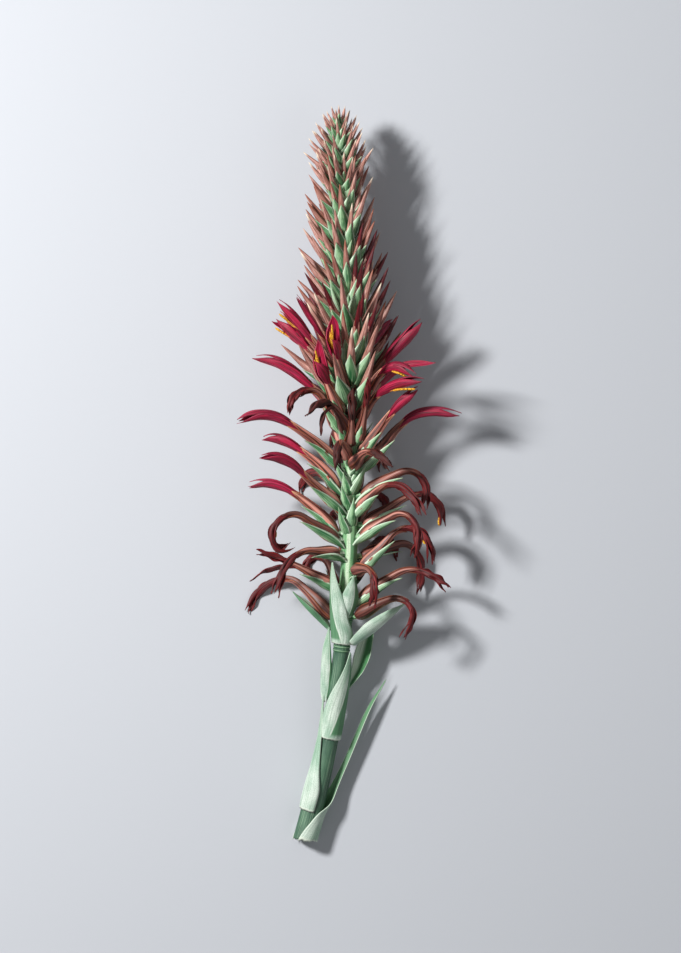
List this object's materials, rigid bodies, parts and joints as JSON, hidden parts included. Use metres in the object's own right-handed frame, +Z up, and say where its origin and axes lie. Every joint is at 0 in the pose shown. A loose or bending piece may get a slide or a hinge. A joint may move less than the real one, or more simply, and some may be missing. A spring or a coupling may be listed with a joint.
{
  "type": "cut flowering stem",
  "caption": "Cut stem of a pitcairnia, lying flat: pale sheathing leaves below, arching crimson and withered flowers, and a tapering spike of closed buds.",
  "frame": {"origin": "middle of the underside of the whole stem with its flowers, on the surface that it lies on", "axes": "+Y along the stem from its cut end towards the tip of the buds, +Z up from the surface, +X to the right seen from above"},
  "size_m": [0.1227, 0.4015, 0.0719],
  "materials": {
    "stalk": "matte",
    "sheath": "matte",
    "bud": "matte",
    "fresh_bloom": "matte",
    "withered_bloom": "matte"
  },
  "bodies": {
    "root": {"flower_stalk": "stalk", "bud_spike": "bud", "sheath_bract_1": "sheath", "sheath_bract_2": "sheath", "sheath_bract_3": "sheath", "sheath_bract_4": "sheath", "sheath_bract_5": "sheath", "sheath_bract_6": "sheath", "sheath_bract_7": "sheath", "sheath_bract_8": "sheath", "sheath_bract_9": "sheath", "bloom_01": "fresh_bloom", "bloom_02": "fresh_bloom", "bloom_03": "fresh_bloom", "bloom_04": "fresh_bloom", "bloom_05": "withered_bloom", "bloom_06": "withered_bloom", "bloom_07": "withered_bloom", "bloom_08": "withered_bloom", "bloom_09": "fresh_bloom", "bloom_10": "fresh_bloom", "bloom_11": "withered_bloom", "bloom_12": "withered_bloom", "bloom_13": "withered_bloom", "bloom_14": "withered_bloom", "bloom_15": "withered_bloom", "bloom_16": "withered_bloom", "bloom_17": "withered_bloom", "bloom_18": "withered_bloom", "bloom_19": "withered_bloom", "bloom_20": "fresh_bloom", "bloom_21": "fresh_bloom", "bloom_22": "fresh_bloom", "bloom_23": "fresh_bloom", "bloom_24": "fresh_bloom", "bloom_25": "fresh_bloom", "bloom_26": "withered_bloom", "bloom_27": "fresh_bloom", "bloom_28": "fresh_bloom", "bloom_29": "fresh_bloom", "bloom_30": "withered_bloom", "bloom_31": "withered_bloom", "bloom_32": "withered_bloom", "bloom_33": "withered_bloom", "bloom_34": "withered_bloom", "bloom_35": "withered_bloom", "bloom_36": "withered_bloom", "bloom_37": "withered_bloom", "bloom_38": "withered_bloom", "bloom_39": "withered_bloom", "bloom_40": "withered_bloom", "bloom_41": "withered_bloom", "bloom_42": "fresh_bloom", "bloom_43": "fresh_bloom", "bloom_44": "fresh_bloom", "bloom_45": "fresh_bloom", "bloom_46": "fresh_bloom"}
  },
  "joints": []
}
